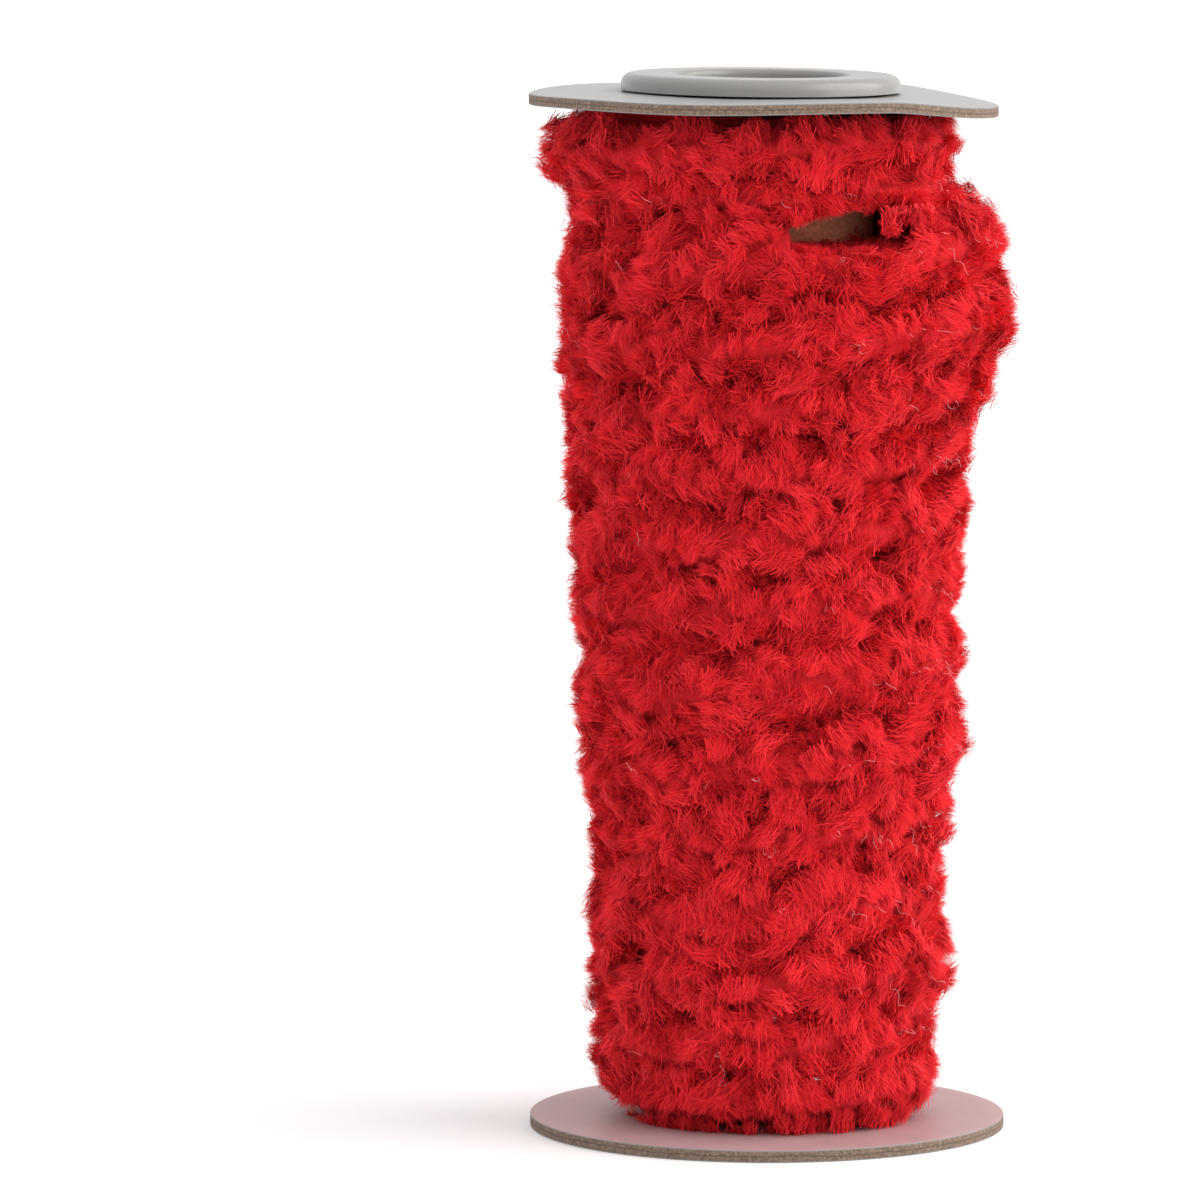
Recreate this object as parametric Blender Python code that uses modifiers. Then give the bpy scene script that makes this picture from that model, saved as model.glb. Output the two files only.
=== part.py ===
"""Wired yarn trim wound in one layer on a card spool that stands upright.

Metres, +Z up. The front is -Y and the origin is the middle of the lower flange's
underside. Angles round the spool start at the front and grow towards +X, which is
the way the trim climbs.
"""

import math
from collections import namedtuple

import bmesh
import bpy
from mathutils import Matrix

MM = 0.001
SEAT_GAP = 0.3 * MM

# Boards at the two ends
LOWER_RADIUS = 33.3 * MM
LOWER_THICKNESS = 1.7 * MM
UPPER_RADIUS = 32.7 * MM
UPPER_THICKNESS = 1.5 * MM
UPPER_TOP = 145.2 * MM
UPPER_SHIFT = -0.7 * MM
BOARD_HOLE_RADIUS = 13.8 * MM
BOARD_STEPS = 60
BOARD_RINGS = 6

# The upper board droops at its right side, has a slight ripple and leans with the hub
DROOP = 1.9 * MM
DROOP_START = 17.0 * MM
DROOP_POWER = 1.4
RIPPLE = 0.12 * MM
RIPPLE_WAVES = 5
HUB_LEAN = math.radians(0.6)
LEAN_FADE_FROM = 20.0 * MM
LEAN_FADE_TO = 30.0 * MM

# Paper core tube
CORE_RADIUS = 15.0 * MM
CORE_WALL = 1.2 * MM
CORE_SHIFT = -0.4 * MM
CORE_STEPS = 60

# Plastic hub ring, whose rim lies on the upper board and whose barrel enters the core
HUB_RADIUS = 19.5 * MM
HUB_HEIGHT = 2.6 * MM
HUB_SHIFT = -1.1 * MM
HUB_OPENING_RADIUS = 12.0 * MM
HUB_BARREL_WALL = 0.8 * MM
HUB_BARREL_LENGTH = 8.5 * MM
HUB_OUTER_ROUND = 1.5 * MM
HUB_INNER_ROUND = 0.8 * MM
HUB_STEPS = 56

# The winding: rows of mesh to each turn, and mesh steps round the spool
ROWS_PER_TURN = 4
WINDING_STEPS = 52
FIRST_TURN = -2
LAST_TURN = 17
NOMINAL_PITCH = 9.1 * MM
NOMINAL_RADIUS = 25.0 * MM
GROOVE_DEPTH = 4.2 * MM
GROOVE_POWER = 0.7
LUMP = 0.45 * MM
BOTTOM_TUCK = 5.0 * MM
TOP_TUCK = 3.5 * MM
TUCK_HEIGHT = 5.0 * MM
SAG_BLEND_HEIGHT = 18.0 * MM
TOP_INNER_RING = 21.0 * MM
TOP_MIDDLE_RING = 13.0 * MM

# A row for each turn from the bottom: the height of its wire at the front, and how far
# the pile above that wire stands from the axis on the left and on the right, in mm
Turn = namedtuple("Turn", "wire left right")
TURNS = (
    Turn(wire=9.2, left=25.0, right=24.4),
    Turn(wire=18.3, left=25.8, right=27.2),
    Turn(wire=26.3, left=25.9, right=25.0),
    Turn(wire=38.5, left=25.6, right=26.4),
    Turn(wire=47.3, left=27.2, right=28.4),
    Turn(wire=58.0, left=27.8, right=28.2),
    Turn(wire=70.5, left=27.8, right=28.0),
    Turn(wire=80.2, left=28.2, right=29.1),
    Turn(wire=89.6, left=28.8, right=29.2),
    Turn(wire=98.6, left=29.4, right=32.2),
    Turn(wire=106.8, left=30.2, right=35.0),
    Turn(wire=117.0, left=30.2, right=33.6),
    Turn(wire=129.4, left=28.6, right=26.0),
    Turn(wire=134.6, left=32.8, right=28.4),
    Turn(wire=142.6, left=31.0, right=27.6),
)

# Where the piles of two turns part and the core shows: lower and upper edge by angle
GapEdge = namedtuple("GapEdge", "angle low high")
GAP = (
    GapEdge(angle=5, low=124.9, high=125.3),
    GapEdge(angle=19, low=124.6, high=127.2),
    GapEdge(angle=32, low=124.6, high=128.5),
    GapEdge(angle=56, low=124.7, high=129.6),
    GapEdge(angle=82, low=125.0, high=130.2),
    GapEdge(angle=96, low=126.5, high=129.6),
    GapEdge(angle=104, low=127.9, high=128.5),
)
GAP_STEPS = 11
GAP_INNER_RADIUS = 10.0 * MM
GAP_OUTER_RADIUS = 45.0 * MM
GAP_RIGHT = 20.8 * MM

MERGE = 0.00001


def smooth_step(value, start, end):
    """0 before start and 1 past end, with an even passage between them."""
    share = min(max((value - start) / (end - start), 0.0), 1.0)
    return share * share * (3.0 - 2.0 * share)


def between(rows, key, value, column):
    """The column's number at this value of the key, on straight lines between rows."""
    for low, high in zip(rows, rows[1:]):
        if value <= getattr(high, key):
            break
    span = getattr(high, key) - getattr(low, key)
    share = min(max((value - getattr(low, key)) / span, 0.0), 1.0)
    return getattr(low, column) * (1.0 - share) + getattr(high, column) * share


def along(values, place):
    """A number read from a list at a place between its entries, held at the ends."""
    place = min(max(place, 0.0), len(values) - 1.001)
    before = int(place)
    share = place - before
    return values[before] * (1.0 - share) + values[before + 1] * share


def board_sag(x, y):
    """How much the upper board rises here over a level one, from its own middle."""
    reach = math.hypot(x, y)
    past = max(x - DROOP_START, 0.0) / (UPPER_RADIUS - DROOP_START)
    droop = -DROOP * past**DROOP_POWER
    ripple = RIPPLE * math.sin(RIPPLE_WAVES * math.atan2(x, -y)) * (reach / UPPER_RADIUS) ** 2
    lean = -x * math.tan(HUB_LEAN) * (1.0 - smooth_step(reach, LEAN_FADE_FROM, LEAN_FADE_TO))
    return droop + ripple + lean


def turn_height(turn):
    """The height of the wire this many turns up, counted from the first at the front."""
    wires = [row.wire * MM for row in TURNS]
    if turn < 0:
        return wires[0] + turn * NOMINAL_PITCH
    if turn > len(wires) - 1:
        return wires[-1] + (turn - len(wires) + 1) * NOMINAL_PITCH
    return along(wires, turn)


def pile_reach(turn, angle):
    """How far the pile stands from the axis here, before the grooves."""
    left = along([row.left * MM for row in TURNS], turn - 0.25)
    right = along([row.right * MM for row in TURNS], turn - 0.75)
    return (left + right) / 2.0 + (right - left) / 2.0 * math.sin(angle)


def winding_radius(turn, angle, height):
    """The outside of the winding: lobes of pile between grooves that follow the wire."""
    lobe = abs(math.sin(math.pi * (turn - angle / (2.0 * math.pi)))) ** GROOVE_POWER
    lump = LUMP * math.sin(6.0 * angle + 2.3 * turn) * math.cos(3.1 * turn - angle)
    low_tuck = BOTTOM_TUCK * (1.0 - smooth_step(height - LOWER_THICKNESS, 0.0, TUCK_HEIGHT))
    below_board = UPPER_TOP - UPPER_THICKNESS - height
    high_tuck = TOP_TUCK * (1.0 - smooth_step(below_board, 0.0, TUCK_HEIGHT))
    return pile_reach(turn, angle) - GROOVE_DEPTH * (1.0 - lobe) + lump - low_tuck - high_tuck


def material(name, colour, roughness, metallic=0.0):
    made = bpy.data.materials.new(name)
    made.use_nodes = True
    shader = made.node_tree.nodes["Principled BSDF"]
    shader.inputs["Base Color"].default_value = (*colour, 1.0)
    shader.inputs["Roughness"].default_value = roughness
    shader.inputs["Metallic"].default_value = metallic
    made.diffuse_color = (*colour, 1.0)
    return made


def new_object(name, bm, collection, finish=None):
    """A named object from a bmesh, with its normals set to point outwards."""
    bmesh.ops.recalc_face_normals(bm, faces=bm.faces)
    mesh = bpy.data.meshes.new(name)
    bm.to_mesh(mesh)
    bm.free()
    if finish is not None:
        mesh.materials.append(finish)
    mesh.shade_smooth()
    mesh.set_sharp_from_angle(angle=math.radians(40))
    made = bpy.data.objects.new(name, mesh)
    collection.objects.link(made)
    return made


def arc(centre_reach, centre_height, radius, start, end, steps):
    """Points on a quarter round of a turned profile, angles in degrees."""
    turns = [math.radians(start + (end - start) * step / steps) for step in range(steps + 1)]
    return [(centre_reach + radius * math.cos(a), centre_height + radius * math.sin(a)) for a in turns]


def turned(name, profile, steps, collection, finish):
    """A closed profile at +X, outer side running down, turned by a Screw modifier."""
    mesh = bpy.data.meshes.new(name)
    count = len(profile)
    ring = [(place, (place + 1) % count) for place in range(count)]
    mesh.from_pydata([(reach, 0.0, height) for reach, height in profile], ring, [])
    mesh.materials.append(finish)
    made = bpy.data.objects.new(name, mesh)
    collection.objects.link(made)
    screw = made.modifiers.new("turn", "SCREW")
    screw.steps = steps
    screw.render_steps = steps
    screw.use_merge_vertices = True
    screw.merge_threshold = MERGE
    screw.use_smooth_shade = True
    return made


def lower_flange(collection):
    bm = bmesh.new()
    bmesh.ops.create_cone(
        bm,
        cap_ends=True,
        segments=BOARD_STEPS,
        radius1=LOWER_RADIUS,
        radius2=LOWER_RADIUS,
        depth=LOWER_THICKNESS,
        matrix=Matrix.Translation((0.0, 0.0, LOWER_THICKNESS / 2.0)),
    )
    return new_object("lower_flange", bm, collection, material("lower board", (0.62, 0.56, 0.55), 0.6))


def upper_flange(collection):
    """A flat ring from spun edges, bent to the sag, with its thickness from Solidify."""
    bm = bmesh.new()
    width = (UPPER_RADIUS - BOARD_HOLE_RADIUS) / BOARD_RINGS
    line = [bm.verts.new((BOARD_HOLE_RADIUS + width * ring, 0.0, 0.0)) for ring in range(BOARD_RINGS + 1)]
    edges = [bm.edges.new(pair) for pair in zip(line, line[1:])]
    bmesh.ops.spin(
        bm,
        geom=line + edges,
        cent=(0.0, 0.0, 0.0),
        axis=(0.0, 0.0, 1.0),
        dvec=(0.0, 0.0, 0.0),
        angle=2.0 * math.pi,
        steps=BOARD_STEPS,
        use_merge=True,
    )
    for vert in bm.verts:
        vert.co.z = board_sag(vert.co.x, vert.co.y)
    bmesh.ops.recalc_face_normals(bm, faces=bm.faces)
    if sum(face.normal.z for face in bm.faces) < 0.0:
        bmesh.ops.reverse_faces(bm, faces=bm.faces)
    mesh = bpy.data.meshes.new("upper_flange")
    bm.to_mesh(mesh)
    bm.free()
    mesh.materials.append(material("upper board", (0.64, 0.65, 0.64), 0.6))
    mesh.shade_smooth()
    made = bpy.data.objects.new("upper_flange", mesh)
    collection.objects.link(made)
    made.location = (UPPER_SHIFT, 0.0, UPPER_TOP)
    board = made.modifiers.new("board", "SOLIDIFY")
    board.thickness = UPPER_THICKNESS
    board.offset = -1.0
    return made


def core_tube(collection):
    lean_room = (CORE_RADIUS - UPPER_SHIFT) * math.tan(HUB_LEAN)
    top = UPPER_TOP - UPPER_THICKNESS - SEAT_GAP - lean_room
    bottom = LOWER_THICKNESS + SEAT_GAP
    inner = CORE_RADIUS - CORE_WALL
    profile = [(CORE_RADIUS, top), (CORE_RADIUS, bottom), (inner, bottom), (inner, top)]
    made = turned("core_tube", profile, CORE_STEPS, collection, material("kraft", (0.33, 0.18, 0.10), 0.85))
    made.location.x = CORE_SHIFT
    return made


def hub_ring(collection):
    """Rim and barrel in one turned piece, measured from the board's top surface."""
    barrel = HUB_OPENING_RADIUS + HUB_BARREL_WALL
    outer = arc(HUB_RADIUS - HUB_OUTER_ROUND, HUB_HEIGHT - HUB_OUTER_ROUND, HUB_OUTER_ROUND, 90, 0, 4)
    inner = arc(
        HUB_OPENING_RADIUS + HUB_INNER_ROUND,
        HUB_HEIGHT - HUB_INNER_ROUND,
        HUB_INNER_ROUND,
        180,
        90,
        3,
    )
    under = [(HUB_RADIUS, SEAT_GAP), (barrel, SEAT_GAP)]
    foot = [(barrel, -HUB_BARREL_LENGTH), (HUB_OPENING_RADIUS, -HUB_BARREL_LENGTH)]
    plastic = material("hub plastic", (0.60, 0.58, 0.55), 0.22)
    made = turned("hub_ring", inner + outer + under + foot, HUB_STEPS, collection, plastic)
    made.location = (HUB_SHIFT, 0.0, UPPER_TOP)
    made.rotation_euler.y = HUB_LEAN
    return made


def helical_strip():
    """One column of points at the front, spun once round while it climbs one pitch."""
    bm = bmesh.new()
    rows = (LAST_TURN - FIRST_TURN) * ROWS_PER_TURN
    heights = [(FIRST_TURN + row / ROWS_PER_TURN) * NOMINAL_PITCH for row in range(rows + 1)]
    column = [bm.verts.new((0.0, -NOMINAL_RADIUS, height)) for height in heights]
    edges = [bm.edges.new(pair) for pair in zip(column, column[1:])]
    bmesh.ops.spin(
        bm,
        geom=column + edges,
        cent=(0.0, 0.0, 0.0),
        axis=(0.0, 0.0, 1.0),
        dvec=(0.0, 0.0, NOMINAL_PITCH / WINDING_STEPS),
        angle=2.0 * math.pi,
        steps=WINDING_STEPS,
        use_merge=False,
    )
    bmesh.ops.remove_doubles(bm, verts=bm.verts, dist=MERGE)
    return bm


def cut_level(bm, height, keep_above):
    """Cuts the strip off level and returns the edges of the cut."""
    everything = bm.verts[:] + bm.edges[:] + bm.faces[:]
    cut = bmesh.ops.bisect_plane(
        bm,
        geom=everything,
        dist=MERGE,
        plane_co=(0.0, 0.0, height),
        plane_no=(0.0, 0.0, 1.0),
        clear_inner=keep_above,
        clear_outer=not keep_above,
    )
    return [part for part in cut["geom_cut"] if isinstance(part, bmesh.types.BMEdge)]


def drawn_in(bm, edges, reach):
    """Extrudes the rim of the top towards the axis and returns the new rim."""
    made = bmesh.ops.extrude_edge_only(bm, edges=edges)["geom"]
    for vert in [part for part in made if isinstance(part, bmesh.types.BMVert)]:
        share = reach / math.hypot(vert.co.x, vert.co.y)
        vert.co.x *= share
        vert.co.y *= share
    rim = [part for part in made if isinstance(part, bmesh.types.BMEdge)]
    return [edge for edge in rim if edge.is_boundary]


def winding_body(collection, finish):
    """The wound form with its lobes, closed below and under the upper board."""
    bm = helical_strip()
    for vert in bm.verts:
        turn = vert.co.z / NOMINAL_PITCH
        angle = math.atan2(vert.co.x, -vert.co.y)
        height = turn_height(turn)
        reach = winding_radius(turn, angle, height)
        vert.co = (reach * math.sin(angle), -reach * math.cos(angle), height)
    bottom = cut_level(bm, LOWER_THICKNESS + SEAT_GAP, keep_above=True)
    bmesh.ops.edgeloop_fill(bm, edges=bottom)
    top_height = UPPER_TOP - UPPER_THICKNESS - 2.0 * SEAT_GAP
    rim = cut_level(bm, top_height, keep_above=False)
    rim = drawn_in(bm, rim, TOP_INNER_RING)
    rim = drawn_in(bm, rim, TOP_MIDDLE_RING)
    bmesh.ops.edgeloop_fill(bm, edges=rim)
    for vert in bm.verts:
        near_top = smooth_step(vert.co.z, top_height - SAG_BLEND_HEIGHT, top_height)
        vert.co.z += near_top * board_sag(vert.co.x - UPPER_SHIFT, vert.co.y)
    return new_object("wound_trim", bm, collection, finish)


def bore_cutter(collection):
    bm = bmesh.new()
    bmesh.ops.create_cone(
        bm,
        cap_ends=True,
        segments=CORE_STEPS,
        radius1=CORE_RADIUS + SEAT_GAP,
        radius2=CORE_RADIUS + SEAT_GAP,
        depth=2.0 * UPPER_TOP,
        matrix=Matrix.Translation((CORE_SHIFT, 0.0, UPPER_TOP / 2.0)),
    )
    return new_object("bore_cutter", bm, collection)


def gap_cutter(collection):
    """A wedge round the front right, as high as the gap is at each angle, cut off at its right."""
    start = math.radians(GAP[0].angle)
    sweep = math.radians(GAP[-1].angle) - start
    bm = bmesh.new()
    corners = [
        (GAP_INNER_RADIUS, -1.0),
        (GAP_OUTER_RADIUS, -1.0),
        (GAP_OUTER_RADIUS, 1.0),
        (GAP_INNER_RADIUS, 1.0),
    ]
    ring = [bm.verts.new((r * math.sin(start), -r * math.cos(start), side)) for r, side in corners]
    edges = [bm.edges.new((ring[place], ring[(place + 1) % 4])) for place in range(4)]
    bmesh.ops.spin(
        bm,
        geom=ring + edges,
        cent=(0.0, 0.0, 0.0),
        axis=(0.0, 0.0, 1.0),
        dvec=(0.0, 0.0, 0.0),
        angle=sweep,
        steps=GAP_STEPS,
        use_merge=False,
    )
    bmesh.ops.holes_fill(bm, edges=bm.edges, sides=4)
    for vert in bm.verts:
        angle = math.degrees(math.atan2(vert.co.x, -vert.co.y))
        side = "high" if vert.co.z > 0.0 else "low"
        vert.co.z = between(GAP, "angle", angle, side) * MM
    cut = bmesh.ops.bisect_plane(
        bm,
        geom=bm.verts[:] + bm.edges[:] + bm.faces[:],
        dist=MERGE,
        plane_co=(GAP_RIGHT, 0.0, 0.0),
        plane_no=(1.0, 0.0, 0.0),
        clear_outer=True,
    )
    rim = [part for part in cut["geom_cut"] if isinstance(part, bmesh.types.BMEdge)]
    bmesh.ops.edgeloop_fill(bm, edges=rim)
    return new_object("gap_cutter", bm, collection)


def wound_trim(collection, cutters):
    pile = material("red pile", (0.60, 0.012, 0.022), 0.85)
    made = winding_body(collection, pile)
    for cutter in (bore_cutter(cutters), gap_cutter(cutters)):
        cutter.hide_render = True
        cutter.display_type = "WIRE"
        cut = made.modifiers.new(cutter.name, "BOOLEAN")
        cut.operation = "DIFFERENCE"
        cut.solver = "EXACT"
        cut.object = cutter
    return made


def main():
    for old in list(bpy.data.objects):
        bpy.data.objects.remove(old)
    parts = bpy.data.collections.new("wired yarn trim on a spool")
    cutters = bpy.data.collections.new("cutters")
    for collection in (parts, cutters):
        bpy.context.scene.collection.children.link(collection)
    lower_flange(parts)
    core_tube(parts)
    upper_flange(parts)
    hub_ring(parts)
    wound_trim(parts, cutters)


main()
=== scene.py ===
"""The looks of a wired yarn trim that is wound on a card spool.

Metres, +Z up, the front is -Y. Angles round the spool start at the front and grow
towards +X, which is the way the trim climbs. A place along the wire is counted in
turns, so turn 3.25 lies a quarter round from the front in the fourth turn.
"""

import math
from collections import namedtuple

import bmesh
import bpy
import numpy as np
from bpy.props import FloatProperty, FloatVectorProperty, IntProperty, PointerProperty
from mathutils import Matrix, Vector


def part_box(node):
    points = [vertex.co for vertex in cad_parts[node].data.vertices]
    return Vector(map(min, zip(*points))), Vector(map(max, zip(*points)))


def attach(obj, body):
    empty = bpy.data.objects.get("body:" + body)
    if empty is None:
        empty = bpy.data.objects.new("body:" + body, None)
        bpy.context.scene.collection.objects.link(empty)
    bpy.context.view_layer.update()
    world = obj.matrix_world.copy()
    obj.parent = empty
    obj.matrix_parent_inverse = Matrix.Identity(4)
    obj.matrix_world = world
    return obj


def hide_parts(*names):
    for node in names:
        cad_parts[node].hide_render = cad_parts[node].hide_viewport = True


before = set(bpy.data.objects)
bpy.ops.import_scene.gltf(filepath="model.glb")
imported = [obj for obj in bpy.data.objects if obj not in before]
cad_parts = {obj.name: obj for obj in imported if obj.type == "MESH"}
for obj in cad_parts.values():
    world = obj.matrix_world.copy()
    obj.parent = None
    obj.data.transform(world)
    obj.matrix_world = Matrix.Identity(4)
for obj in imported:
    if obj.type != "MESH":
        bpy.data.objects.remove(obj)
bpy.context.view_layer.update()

bl_info = {
    "name": "Yarn trim spool",
    "version": (1, 0, 0),
    "blender": (4, 5, 0),
    "location": "View3D > Sidebar > Yarn trim",
    "description": "Builds a wired yarn trim on its spool, piece by piece, around its solids",
    "category": "Object",
}

MM = 0.001
BODY = "root"
LOWER_LOW, LOWER_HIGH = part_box("lower_flange")
UPPER_LOW, UPPER_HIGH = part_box("upper_flange")
CORE_LOW, CORE_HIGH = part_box("core_tube")

# Boards
LOWER_RADIUS = (LOWER_HIGH.x - LOWER_LOW.x) / 2.0
LOWER_THICKNESS = LOWER_HIGH.z
UPPER_RADIUS = (UPPER_HIGH.x - UPPER_LOW.x) / 2.0
UPPER_SHIFT = (UPPER_HIGH.x + UPPER_LOW.x) / 2.0
UPPER_TOP = 145.2 * MM
UPPER_THICKNESS = 1.5 * MM
BOARD_HOLE_RADIUS = 13.8 * MM
BOARD_CORNER = 0.14 * MM
BOARD_STEPS = 180
BOARD_RINGS = 14
EDGE_ROWS = 6
DROOP = 1.9 * MM
DROOP_START = 17.0 * MM
DROOP_POWER = 1.4
RIPPLE = 0.12 * MM
RIPPLE_WAVES = 5
HUB_LEAN = math.radians(0.6)
LEAN_FADE_FROM = 20.0 * MM
LEAN_FADE_TO = 30.0 * MM

# Core tube
CORE_RADIUS = (CORE_HIGH.x - CORE_LOW.x) / 2.0
CORE_WALL = 1.2 * MM
CORE_SHIFT = (CORE_HIGH.x + CORE_LOW.x) / 2.0
CORE_STEPS = 128
CORE_SEAM_PITCH = 46.0 * MM

# Hub ring
HUB_RADIUS = 19.5 * MM
HUB_HEIGHT = 2.6 * MM
HUB_SHIFT = -1.1 * MM
HUB_OPENING_RADIUS = 12.0 * MM
HUB_BARREL_WALL = 0.8 * MM
HUB_BARREL_LENGTH = 8.5 * MM
HUB_OUTER_ROUND = 1.5 * MM
HUB_INNER_ROUND = 0.8 * MM
HUB_STEPS = 160
SEAT_GAP = 0.3 * MM

# The winding
NOMINAL_PITCH = 9.1 * MM
GROOVE_DEPTH = 4.2 * MM
GROOVE_POWER = 0.7
LUMP = 0.45 * MM
BOTTOM_TUCK = 5.0 * MM
TOP_TUCK = 3.5 * MM
TUCK_HEIGHT = 5.0 * MM
FIRST_WIRE = -0.75
LAST_WIRE = 14.32

Turn = namedtuple("Turn", "wire left right")
TURNS = (
    Turn(wire=9.2, left=25.0, right=24.4),
    Turn(wire=18.3, left=25.8, right=27.2),
    Turn(wire=26.3, left=25.9, right=25.0),
    Turn(wire=38.5, left=25.6, right=26.4),
    Turn(wire=47.3, left=27.2, right=28.4),
    Turn(wire=58.0, left=27.8, right=28.2),
    Turn(wire=70.5, left=27.8, right=28.0),
    Turn(wire=80.2, left=28.2, right=29.1),
    Turn(wire=89.6, left=28.8, right=29.2),
    Turn(wire=98.6, left=29.4, right=32.2),
    Turn(wire=106.8, left=30.2, right=35.0),
    Turn(wire=117.0, left=30.2, right=33.6),
    Turn(wire=129.4, left=28.6, right=26.0),
    Turn(wire=134.6, left=32.8, right=28.4),
    Turn(wire=142.6, left=31.0, right=27.6),
)
WIRES = np.array([row.wire for row in TURNS]) * MM
LEFTS = np.array([row.left for row in TURNS]) * MM
RIGHTS = np.array([row.right for row in TURNS]) * MM

# Where the piles of two turns part and the core shows: lower and upper edge by angle
GapEdge = namedtuple("GapEdge", "angle low high")
GAP = (
    GapEdge(angle=5, low=124.9, high=125.3),
    GapEdge(angle=19, low=124.6, high=127.2),
    GapEdge(angle=32, low=124.6, high=128.5),
    GapEdge(angle=56, low=124.7, high=129.6),
    GapEdge(angle=82, low=125.0, high=130.2),
    GapEdge(angle=96, low=126.5, high=129.6),
    GapEdge(angle=104, low=127.9, high=128.5),
)
GAP_ANGLES = np.radians([row.angle for row in GAP])
GAP_LOWS = np.array([row.low for row in GAP]) * MM
GAP_HIGHS = np.array([row.high for row in GAP]) * MM
GAP_STEPS = 22
GAP_INNER_RADIUS = 10.0 * MM
GAP_OUTER_RADIUS = 45.0 * MM
GAP_RIGHT = 20.8 * MM
GAP_EASE = 0.4 * MM
GAP_RAISED = 2.0 * MM
GAP_CLOSED = 3.6 * MM
GAP_CLOSES_FROM = 12.5 * MM
GAP_CLOSES_TO = 16.0 * MM
LEDGE_RAISED = 0.8 * MM

# Places where the pile parts and the twisted wire glints
Glint = namedtuple("Glint", "turn reach width")
GLINTS = (
    Glint(turn=-0.05, reach=21.4, width=0.018),
    Glint(turn=0.05, reach=21.4, width=0.018),
    Glint(turn=1.005, reach=21.8, width=0.012),
    Glint(turn=11.055, reach=24.0, width=0.012),
    Glint(turn=12.14, reach=18.5, width=0.022),
)
GLINT_SPREAD = 1.6
GLINT_CLEARING = 1.5 * MM

# The twisted wire: two strands round a line that lies at this reach
WIRE_REACH = 17.0 * MM
WIRE_POINTS = 2250
TWIST_PITCH = 3.2 * MM
STRAND_WIDTH = 0.42 * MM
STRAND_REACH = 0.23 * MM

# The dense inner mass of the pile
BODY_UNDER = 2.4 * MM
BODY_GROOVE = 6.4 * MM
BODY_LEAST = 16.2 * MM
BODY_ROWS = 12
BODY_STEPS = 96
BODY_FIRST_TURN = -2
BODY_LAST_TURN = 17
BODY_TOP_RING = 21.0 * MM
BODY_MIDDLE_RING = 13.0 * MM

# Tufts of the pile
PILE_SEED = 20
PILE_PIECES = 6
PILE_MAP = "OFBake"
PILE_LOW = 2.3 * MM
PILE_HIGH = 142.9 * MM
PILE_UNDER_BOARD = 0.12 * MM
PILE_OVER_BOARD = 0.08 * MM
MIDDLE_REACH = 27.0 * MM
WIRE_WANDER = 0.13
GROOVE_FILL = 0.15
GROOVE_FILL_VARIES = 0.3
GROOVE_FILL_MOST = 0.6
STEEPEST_SLOPE = 1.2
TUFT_SEAT = 0.5 * MM
TUFT_LEAN = 2.2
TUFT_FAN = 0.45
TUFT_DOME = 0.22
RISE_VARIES = 0.25
SWAY_VARIES = 0.5
SHADE_VARIES = 0.14
FINE_STEP = 0.3 * MM
MERGE = 0.00001

# Fibres of a tuft
FIBRE_LEAST_REACH = 15.6 * MM
FIBRE_SHORTEST = 2.7 * MM
FIBRE_LONGEST = 3.9 * MM
FIBRE_UNEVEN = 0.2
FIBRE_SPIN = 0.3
TIP_UNEVEN = 0.22
LOOSE_SHARE = 0.06

# Tufts round the gap
GAP_FRINGE = 3.0 * MM
LEDGE_TUFTS = 230
WALL_TUFTS = 150
END_TUFTS = 90
GAP_TUFT_LEAST = 15.8 * MM
LEDGE_MOST = 30.0 * MM
END_MOST = 21.2 * MM
GAP_FRONT = 27.5 * MM
WALL_FACING = (-0.8, -0.55, 0.2)

# Loose hairs, most of them at the right
HAIR_SEED = 7
HAIR_POINTS = 18
HAIR_SIDE = math.radians(68.0)
HAIR_SPREAD = math.radians(26.0)
HAIR_SIDE_SHARE = 0.7
HAIR_SHORTEST = 2.2 * MM
HAIR_LONGEST = 4.6 * MM
HAIR_ROOT = 2.0 * MM
HAIR_DRIFT = 1.7 * MM
HAIR_CURL = 0.35 * MM
HAIR_HALF_WIDTH = 0.022 * MM
HAIR_LOW = 3.0 * MM
HAIR_HIGH = 141.0 * MM

# A dark hole between tufts: its angle, and its height and size in mm
Hole = namedtuple("Hole", "angle height size")
HOLES = (Hole(angle=-35, height=55.4, size=1.5),)
HOLE_DEPTH = 5.0 * MM

# Light and camera: sides and heights in degrees, a side from the front towards +X
Light = namedtuple("Light", "side height softness colour")
KEY_LIGHT = Light(side=84.0, height=24.0, softness=70.0, colour=(1.0, 0.99, 0.97))
FILL_LIGHT = Light(side=-20.0, height=25.0, softness=90.0, colour=(0.98, 0.99, 1.0))
CAMERA_PLACE = (-0.02347, -1.276, 0.2117)
CAMERA_DOWN = 6.154


def smooth_step(value, start, end):
    """0 before start and 1 past end, with an even passage between them."""
    share = np.clip((value - start) / (end - start), 0.0, 1.0)
    return share * share * (3.0 - 2.0 * share)


def board_sag(x, y):
    """How much the upper board rises here over a level one, from its own middle."""
    reach = np.hypot(x, y)
    past = np.maximum(x - DROOP_START, 0.0) / (UPPER_RADIUS - DROOP_START)
    droop = -DROOP * past**DROOP_POWER
    ripple = RIPPLE * np.sin(RIPPLE_WAVES * np.arctan2(x, -y)) * (reach / UPPER_RADIUS) ** 2
    lean = -x * math.tan(HUB_LEAN) * (1.0 - smooth_step(reach, LEAN_FADE_FROM, LEAN_FADE_TO))
    return droop + ripple + lean


def turn_height(turn):
    """The height of the wire this many turns up, counted from the first at the front."""
    last = len(WIRES) - 1
    past = np.minimum(turn, 0.0) + np.maximum(turn - last, 0.0)
    return np.interp(turn, np.arange(last + 1), WIRES) + past * NOMINAL_PITCH


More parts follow.
